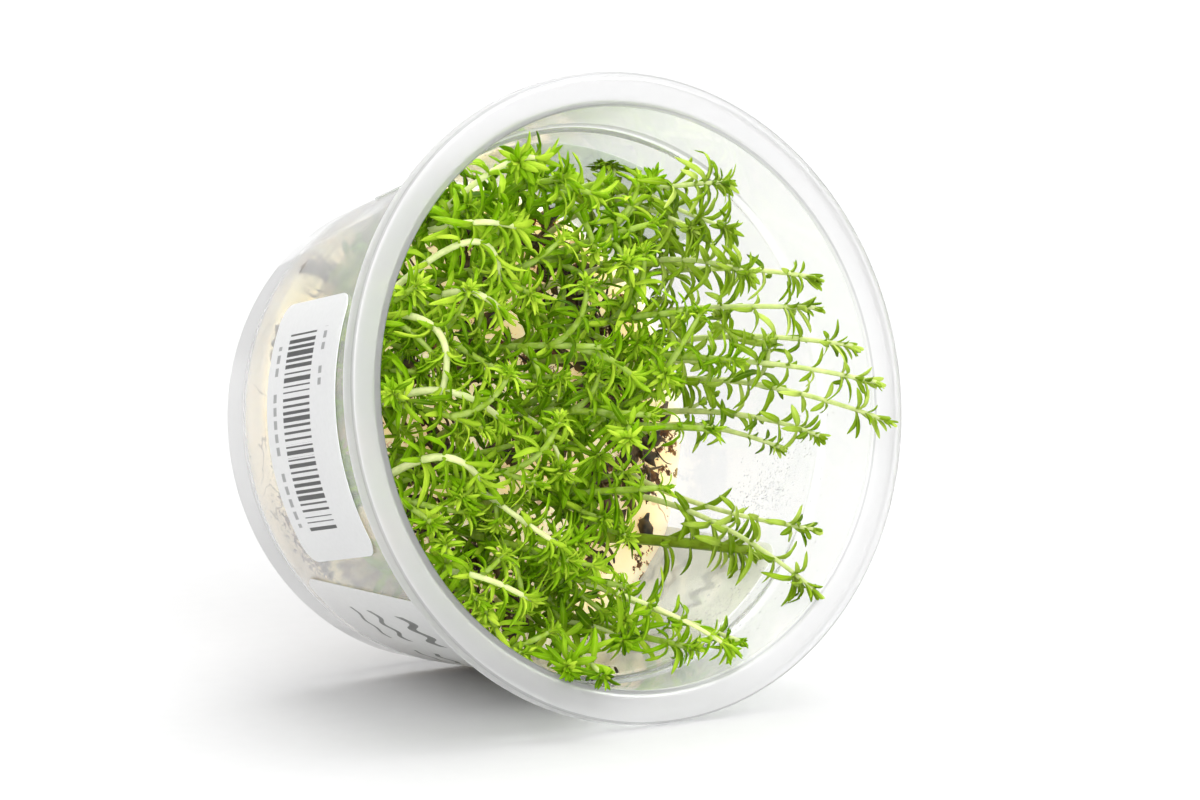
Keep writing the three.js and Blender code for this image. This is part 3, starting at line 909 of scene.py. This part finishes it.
# How each part of the planting grows. low and high are the stem's radius at its foot and its tip,
# spacing is how far apart its whorls are, and bare how far up they start. A tone goes from 0, old, to
# 1, young. droop is how much leaves hang, overhang how far they may lean out past the rim, and whorl
# the numbers of leaves to choose from. Side shoots leave at an angle in shoot_turn round the stem.
GROWTHS = {
    "right": {
        "low": 0.55, "high": 0.34, "leaf": 5.8, "width": 1.2, "spacing": 4.8, "bare": 15,
        "tone": 0.5, "stem_tone": 0.85, "droop": 0.6, "shoots": 1, "overhang": 0.4,
        "whorl": (3, 3, 4), "tuft": "closed", "tuft_tone": -0.1,
        "shoot_turn": (0.2, 2.9), "shoot_length": (5, 9),
    },
    "top": {
        "low": 0.9, "high": 0.5, "leaf": 7.4, "width": 1.35, "spacing": 4.6, "bare": 9,
        "tone": 0.42, "stem_tone": 0.55, "droop": 0.2, "shoots": 4, "overhang": 0.4,
        "whorl": (4, 5, 5, 6), "tuft": "open", "tuft_tone": 0.1,
        "shoot_turn": (0, math.tau), "shoot_length": (7, 14),
    },
    "mass": {
        "low": 0.8, "high": 0.45, "leaf": 6.3, "width": 1.0, "spacing": 4.2, "bare": 12,
        "tone": 0.5, "stem_tone": 0.55, "droop": 0.3, "shoots": 5, "overhang": 0.4,
        "whorl": (4, 5, 5, 6), "tuft": "open", "tuft_tone": 0.1,
        "shoot_turn": (0, math.tau), "shoot_length": (7, 14),
    },
}
# What differs from that for single stems
HABITS = {
    1: {"leaf": 8.0, "width": 1.35, "shoots": 2, "whorl": (4, 5), "tuft": "open"},
    2: {"leaf": 7.0, "width": 1.3, "shoots": 2, "whorl": (4, 4, 5), "tuft": "open"},
    3: {"shoots": 0},
    9: {"shoots": 0, "bare": 17, "leaf": 5, "spacing": 6},
    10: {"shoots": 0, "bare": 27, "leaf": 5, "low": 0.5, "high": 0.3, "stem_tone": 0.9},
    11: {"shoots": 0, "bare": 20, "leaf": 7.6, "droop": 1.2},
    12: {"shoots": 0, "low": 0.95, "high": 0.8, "stem_tone": 0.3, "leaf": 8, "width": 1.35, "droop": 1.4},
    13: {"shoots": 0},
    14: {"shoots": 0, "leaf": 6.8, "overhang": 1.4, "whorl": (4, 5), "tuft": "open", "tuft_rings": 3},
    17: {"shoots": 2, "leaf": 6.4},
    26: {"shoots": 1},
    30: {"shoots": 1, "bare": 18},
    34: {"shoots": 3},
    35: {"shoots": 3},
    36: {"shoots": 7},
    37: {"shoots": 2, "leaf": 5.6},
}
# What each plant's random choices start from
PLANT_SEEDS = [
    401, 2002, 603, 1904, 2205, 706, 1807, 1108, 809, 810, 1211, 912, 313, 1314,
    215, 1016, 1717, 1618, 2419, 2120, 1421, 322, 2723, 2624, 1525, 2626, 527, 2628,
    1229, 1930, 2531, 1332, 933, 1734, 2635, 2136, 637,
]


def side_growth(growth, **changes):
    """How a side shoot grows: as its stem does, but thinner and with a full tuft."""
    thinner = {"low": growth["low"] * 0.75, "high": growth["high"] * 0.8, "tuft_rings": FULL_TUFT}
    return growth | thinner | changes


def draw_plant(number, seed, templates):
    """A stem with its leaves, side shoots and tuft, in the cup's frame."""
    chance.seed(seed)
    (x, y), halfway, tip = STEM_ROUTES[number - 1]
    part = "right" if number <= LAST_RIGHT_STEM else "top" if number <= LAST_TOP_STEM else "mass"
    tuft_rings = FULL_TUFT if part == "right" else chance.choice((3, 4, FULL_TUFT))
    growth = GROWTHS[part] | {"tuft_rings": tuft_rings} | HABITS.get(number, {})
    growth["tone"] += chance.uniform(-0.1, 0.1)
    route = arc((x, y, gel_surface(y) + 0.4), halfway, tip)
    drawn = bmesh.new()
    add_shoot(drawn, templates, route, growth)
    for _ in range(growth["shoots"]):
        share = chance.uniform(0.3, 0.9)
        length = chance.uniform(*growth["shoot_length"])
        side = side_route(route, share, length, chance.uniform(*growth["shoot_turn"]))
        # The lower a side shoot leaves its stem, the darker its tone: painted shade deep in the mass
        tone = growth["tone"] + chance.uniform(-0.1, 0.2) + 0.5 * min(0, share - 0.6)
        small = side_growth(growth, bare=3.5, leaf=growth["leaf"] * 0.85, tone=tone)
        add_shoot(drawn, templates, side, small)
    for owner, share, bend, end in LEAFY_SHOOTS:
        if owner == number:
            side = arc(arc_point(route, share), bend, end)
            add_shoot(drawn, templates, side, side_growth(growth, bare=4))
    for owner, share, bend, end, radius in PALE_SHOOTS:
        if owner == number:
            side = arc(arc_point(route, share), bend, end)
            pale = side_growth(
                growth, low=radius, high=radius * 0.75, bare=4, spacing=6, stem_tone=0.95, tone=0.6,
            )
            add_shoot(drawn, templates, side, pale)
    kept_in_place(drawn, growth["overhang"])
    return drawn


def make_plants():
    tube, blades = stem_tube(), [leaf_blade(bend) for bend in LEAF_BENDS]
    stem = stem_look()
    leaf, spray_leaf = leaf_look("narrow_leaf"), leaf_look("spray_leaf")
    for number, seed in enumerate(PLANT_SEEDS, 1):
        drawn = draw_plant(number, seed, (tube, blades))
        looks = [spray_leaf if number <= LAST_SPRAY_STEM else leaf, stem]
        finished(f"plant_{number:02d}", drawn, looks, f"stem_{number:02d}")
    for mesh in (tube, *blades):
        bpy.data.meshes.remove(mesh)


# Roots, scraps and condensed water

ROOT_SEED = 100
ROOTS_A_STEM = 5
SCRAPS_A_STEM = 9
CRUST_SCRAPS = 90
WALL_BITS = 16

DROPLET_SEED = 200
DROPLET_PATCHES = [
    # middle angle and height on the wall's inside, spread of both, count and largest radius
    (335, 37, 3.5, 4, 560, 0.14),
    (346, 43, 5, 4, 140, 0.18),
    (303, 42, 8, 6, 520, 0.17),
    (214, 30, 7, 8, 420, 0.2),
    (150, 40, 14, 5, 120, 0.2),
]


def scrap_lump():
    """An uneven lump of radius 1."""
    drawn = bmesh.new()
    drawn.verts.layers.float.new("tone")
    bmesh.ops.create_icosphere(drawn, subdivisions=2, radius=1)
    for corner in drawn.verts:
        corner.co *= 1 + 0.9 * noise.noise(corner.co * 1.3 + Vector((4, 0, 0)))
    return stored("scrap_lump", drawn)


def spot_on_gel(x, y, spread):
    """A random spot near this one, kept inside the wall."""
    spot = Vector((x + chance.gauss(0, spread), y + chance.gauss(0, spread), 0))
    reach = inner_radius(GEL_TOP) - 1.6
    if spot.length > reach:
        spot *= reach / spot.length
    return spot


def on_wall(angle, height, lift=WALL_CLEARANCE):
    """A spot that lies on the inside of the wall."""
    reach, turn = inner_radius(height) - lift, math.radians(angle)
    return Vector((reach * math.cos(turn), reach * math.sin(turn), height))


def add_scrap(drawn, lump, spot, size):
    """A long, flat lump turned at random."""
    about_z = Matrix.Rotation(chance.uniform(0, math.tau), 4, "Z")
    about_x = Matrix.Rotation(chance.uniform(0, 3), 4, "X")
    shape = Matrix.Diagonal((size * 1.3, size * 0.8, size * 0.6, 1))
    place = Matrix.Translation(spot) @ about_z @ about_x @ shape
    add_copy(drawn, lump, lambda mesh: mesh.transform(place), 0)


def add_root(drawn, tube, route, thick, taper):
    """A thin round root that tapers by that share towards its end."""
    add_tube(drawn, tube, route, lambda share: thick * (1 - taper * share), 0)


def make_roots():
    """Thin dark roots and scraps round the foot of each stem, at the gel's edge and on the low wall."""
    chance.seed(ROOT_SEED)
    tube, lump = stem_tube(), scrap_lump()
    drawn = bmesh.new()
    for (x, y), _, _ in STEM_ROUTES:
        for _ in range(ROOTS_A_STEM):
            start = spot_on_gel(x, y, 1)
            end = spot_on_gel(start.x, start.y, 4)
            middle = spot_on_gel((start.x + end.x) / 2, (start.y + end.y) / 2, 1.2)
            start.z = gel_surface(start.y) + chance.uniform(0.5, 2.5)
            middle.z = gel_surface(middle.y) + chance.uniform(0.8, 3)
            end.z = gel_surface(end.y) + 0.1
            add_root(drawn, tube, arc(start, middle, end), chance.uniform(0.16, 0.4), 0.6)
        for _ in range(SCRAPS_A_STEM):
            spot = spot_on_gel(x, y, 2.4)
            spot.z = gel_surface(spot.y) + 0.3
            add_scrap(drawn, lump, spot, chance.uniform(0.5, 1.9))
    # A dark crust along the gel's edge on the side of the labels
    for _ in range(CRUST_SCRAPS):
        angle = chance.triangular(184, 226, 204)
        edge = inner_radius(GEL_TOP) * math.sin(math.radians(angle))
        height = gel_surface(edge) + chance.uniform(-0.2, 0.9)
        size = chance.uniform(0.2, 0.55)
        add_scrap(drawn, lump, on_wall(angle, height, size * 1.7), size)
    # Dead bits that lie on the low side of the wall
    for _ in range(WALL_BITS):
        angle, height = chance.gauss(266, 3), chance.gauss(46.5, 1.4)
        turn, rise = chance.uniform(-4, 4), chance.uniform(-1.5, 1.5)
        sway, bulge = chance.uniform(-1, 1), chance.uniform(-0.8, 0.8)
        middle = on_wall(angle + turn / 2 + sway, height + bulge, 1)
        thick = chance.uniform(0.14, 0.34)
        route = arc(on_wall(angle, height), middle, on_wall(angle + turn, height + rise))
        add_root(drawn, tube, route, thick, 0.5)
    # The tubes and the lumps share one look here
    for face in drawn.faces:
        face.material_index = 0
    bpy.data.meshes.remove(tube)
    bpy.data.meshes.remove(lump)
    finished("root_tangle", drawn, [root_look()])


def water_drop():
    """A flattened round drop of radius 1 that sits on a wall facing +X."""
    drawn = bmesh.new()
    drawn.verts.layers.float.new("tone")
    bmesh.ops.create_uvsphere(drawn, u_segments=8, v_segments=4, radius=1)
    bmesh.ops.scale(drawn, vec=(0.55, 1, 1), verts=drawn.verts)
    return stored("water_drop", drawn)


def make_droplets():
    """Condensed water on the inside of the wall, in misted patches of small drops."""
    chance.seed(DROPLET_SEED)
    drop = water_drop()
    drawn = bmesh.new()
    for middle, height, turn, rise, count, largest in DROPLET_PATCHES:
        for _ in range(count):
            at = min(56, max(20, chance.gauss(height, rise)))
            size = largest * chance.uniform(0.35, 1) ** 1.5
            reach = inner_radius(at) - 0.3 * size
            round_wall = Matrix.Rotation(math.radians(chance.gauss(middle, turn)), 4, "Z")
            place = round_wall @ Matrix.Translation((reach, 0, at)) @ Matrix.Scale(size, 4)
            add_copy(drawn, drop, lambda mesh, place=place: mesh.transform(place), 0)
    bpy.data.meshes.remove(drop)
    finished("condensed_drops", drawn, [water_look()])


# The studio

def make_studio():
    world = bpy.data.worlds.new("white_studio")
    world.use_nodes = True
    background = world.node_tree.nodes["Background"]
    background.inputs["Color"].default_value = (1, 1, 1, 1)
    background.inputs["Strength"].default_value = 0.65
    bpy.context.scene.world = world
    drawn = bmesh.new()
    bmesh.ops.create_grid(drawn, x_segments=1, y_segments=1, size=6)
    bmesh.ops.translate(drawn, vec=(0, 0, -0.0002), verts=drawn.verts)
    mesh = stored("studio_floor", drawn)
    paper = Look("white_studio_paper")
    grain = paper.noise(paper.place(), scale=300, detail=2)
    shade = paper.mix(grain, (0.56, 0.56, 0.56, 1), (0.58, 0.58, 0.58, 1))
    paper.finish(Base_Color=shade, Roughness=0.7)
    mesh.materials.append(paper.material)
    ground = bpy.data.objects.new("studio_floor", mesh)
    bpy.context.scene.collection.objects.link(ground)
    add_soft_light("overhead_light", (0.3, 0.2, 1), 2.6, 50)
    add_soft_light("front_light", (-0.35, -0.85, 0.55), 3, 60)


def add_soft_light(name, towards, strength, spread):
    light = bpy.data.lights.new(name, "SUN")
    light.energy = strength
    light.angle = math.radians(spread)
    lamp = bpy.data.objects.new(name, light)
    lamp.rotation_mode = "QUATERNION"
    lamp.rotation_quaternion = (-Vector(towards)).to_track_quat("-Z", "Y")
    bpy.context.scene.collection.objects.link(lamp)


def make_camera():
    azimuth, elevation, distance = math.radians(-33.332), math.radians(9.875), 1.14892
    aim = Vector((0.010324, 0, 0.043164))
    level = math.cos(elevation)
    back = Vector((math.sin(azimuth) * level, -math.cos(azimuth) * level, math.sin(elevation)))
    lens = bpy.data.cameras.new("camera")
    lens.lens = 225
    lens.sensor_width = 36
    lens.clip_start, lens.clip_end = 0.05, 50
    camera = bpy.data.objects.new("camera", lens)
    camera.location = aim + distance * back
    camera.rotation_mode = "QUATERNION"
    camera.rotation_quaternion = (-back).to_track_quat("-Z", "Y")
    bpy.context.scene.collection.objects.link(camera)
    bpy.context.scene.camera = camera
    bpy.context.scene.view_settings.view_transform = "Standard"


make_camera()
make_studio()
make_cup()
make_gel()
make_labels()
make_plants()
make_roots()
make_droplets()
